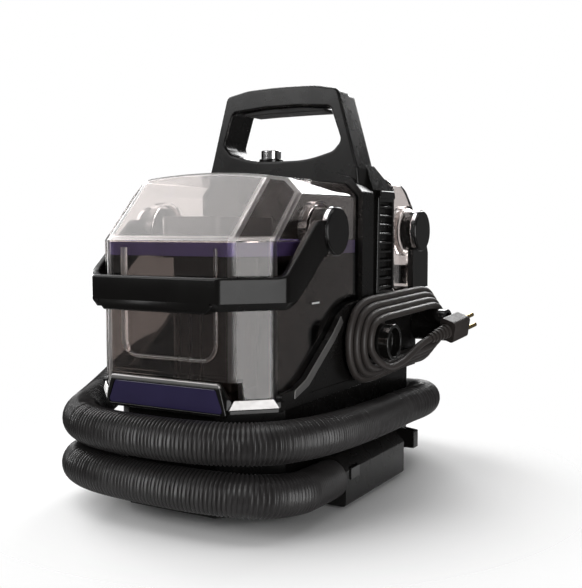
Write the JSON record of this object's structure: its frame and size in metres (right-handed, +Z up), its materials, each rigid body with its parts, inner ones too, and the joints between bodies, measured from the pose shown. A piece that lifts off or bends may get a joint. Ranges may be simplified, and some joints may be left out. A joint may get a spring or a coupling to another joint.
{
  "type": "portable spot extractor",
  "caption": "Portable spot cleaning machine with a tinted front tank, rear tank, carry handle, swing bails, wound suction hose, spray wand and wound power cord.",
  "frame": {"origin": "on the floor plane under the middle of the machine's box, measured without the hose and power cord", "axes": "+X to the machine's right as seen from behind it (the cord side), +Y from the badge end towards the clean tank, +Z up"},
  "size_m": [0.3057, 0.4472, 0.3975],
  "materials": {
    "black_plastic": "satin black moulded plastic, fine grain",
    "gloss_black": "polished black plastic",
    "smoke_plastic": "smoke-tinted clear tank wall",
    "clear_plastic": "lightly tinted clear plastic",
    "purple_plastic": "deep violet gloss plastic",
    "bright_trim": "bright silver plated trim",
    "dark_plastic": "dark brown-black moulded plastic",
    "pale_plastic": "pale grey moulded plastic",
    "black_rubber": "soft black rubber",
    "cord_rubber": "dark brown-grey cord jacket, semi-matte",
    "hose_vinyl": "dark grey corrugated vinyl",
    "steel": "zinc plated steel",
    "painted_steel": "grey painted steel can",
    "aluminium": "bare pressed aluminium",
    "brass": "bright brass",
    "bristle": "black nylon bristle"
  },
  "bodies": {
    "base": {"badge_frame": "gloss_black", "badge_plate": "purple_plastic", "button_bezel": "gloss_black", "chassis_floor": "black_plastic", "chassis_shell": "black_plastic", "cord_gland": "black_rubber", "cord_posts": "gloss_black", "fan_housing": "dark_plastic", "floor_screws": "steel", "handle_grip": "black_rubber", "hose_cuff": "black_plastic", "hose_dock": "black_plastic", "mains_plug": "cord_rubber", "motor_can": "painted_steel", "plug_prongs": "brass", "plug_strain_relief": "cord_rubber", "power_cord_coil": "cord_rubber", "power_cord_lead": "cord_rubber", "power_switch": "dark_plastic", "pump_body": "dark_plastic", "rear_housing": "black_plastic", "rubber_feet": "black_rubber", "side_fairing_left": "black_plastic", "side_fairing_right": "black_plastic", "spine_front_shell": "black_plastic", "spine_rear_shell": "black_plastic", "suction_hose": "hose_vinyl", "tank_tray": "black_plastic", "trim_strips": "bright_trim", "vent_frames": "gloss_black", "vent_louvres": "gloss_black", "wand_brush": "bristle", "wand_clips": "black_plastic", "wand_handle_inner": "black_plastic", "wand_handle_outer": "black_plastic", "wand_nozzle": "clear_plastic"},
    "front_tank": {"dirty_tank_bucket": "smoke_plastic", "dirty_tank_lid": "smoke_plastic", "tank_seal_band": "purple_plastic", "splash_baffle": "dark_plastic", "suction_stack": "dark_plastic", "separator_hood": "dark_plastic", "float_cage": "dark_plastic", "front_pivot_pins": "gloss_black", "front_pivot_rings": "bright_trim"},
    "front_bail": {"front_bail": "gloss_black"},
    "float": {"shutoff_float": "pale_plastic"},
    "rear_tank": {"clean_tank_shell": "clear_plastic", "rear_pivot_pins": "gloss_black", "rear_pivot_rings": "bright_trim"},
    "rear_bail": {"rear_bail": "gloss_black"},
    "cap": {"fill_cap": "gloss_black"},
    "valve": {"tank_valve": "pale_plastic"},
    "button": {"power_button": "bright_trim"},
    "fan": {"fan_rotor": "aluminium", "motor_armature": "steel"},
    "plunger": {"pump_plunger": "steel"},
    "hook": {"cord_hook": "gloss_black"},
    "latch": {"dock_latch": "gloss_black"},
    "trigger": {"wand_trigger": "purple_plastic"}
  },
  "joints": [
    {"name": "front_tank_lift", "type": "slide", "parent": "base", "child": "front_tank", "axis": [0, 0, 1], "range_m": [0, 0.15]},
    {"name": "front_bail_swing", "type": "hinge", "parent": "front_tank", "child": "front_bail", "pos_m": [0, -0.07, 0.25], "axis": [-1, 0, 0], "range_deg": [0, 112]},
    {"name": "float_rise", "type": "slide", "parent": "front_tank", "child": "float", "axis": [0, 0, 1], "range_m": [0, 0.026]},
    {"name": "rear_tank_lift", "type": "slide", "parent": "base", "child": "rear_tank", "axis": [0, 0, 1], "range_m": [0, 0.12]},
    {"name": "rear_bail_swing", "type": "hinge", "parent": "rear_tank", "child": "rear_bail", "pos_m": [0, 0.136, 0.25], "axis": [1, 0, 0], "range_deg": [0, 120]},
    {"name": "fill_cap_turn", "type": "hinge", "parent": "rear_tank", "child": "cap", "pos_m": [0, 0.134, 0.292], "axis": [0, 0, 1], "range_deg": [0, 90]},
    {"name": "tank_valve_lift", "type": "slide", "parent": "rear_tank", "child": "valve", "axis": [0, 0, 1], "range_m": [0, 0.003], "stiffness_N_per_m": 200, "springref_m": -0.002},
    {"name": "power_button_press", "type": "slide", "parent": "base", "child": "button", "axis": [0, 0, -1], "range_m": [0, 0.003], "stiffness_N_per_m": 400, "springref_m": -0.002},
    {"name": "fan_spin", "type": "hinge", "parent": "base", "child": "fan", "pos_m": [0, 0.062, 0.24], "axis": [0, 0, 1], "continuous": true},
    {"name": "pump_stroke", "type": "slide", "parent": "base", "child": "plunger", "axis": [1, 0, 0], "range_m": [-0.004, 0.006], "stiffness_N_per_m": 300},
    {"name": "cord_hook_turn", "type": "hinge", "parent": "base", "child": "hook", "pos_m": [0.115, 0.15, 0.146], "axis": [1, 0, 0], "range_deg": [0, 150]},
    {"name": "dock_latch_press", "type": "slide", "parent": "base", "child": "latch", "axis": [-1, 0, 0], "range_m": [0, 0.0014], "stiffness_N_per_m": 400, "springref_m": -0.001},
    {"name": "wand_trigger_squeeze", "type": "hinge", "parent": "base", "child": "trigger", "pos_m": [-0.1165, 0.057, 0.143], "axis": [1, 0, 0], "range_deg": [0, 8], "stiffness_Nm_per_rad": 0.4, "springref_deg": -5.73}
  ]
}
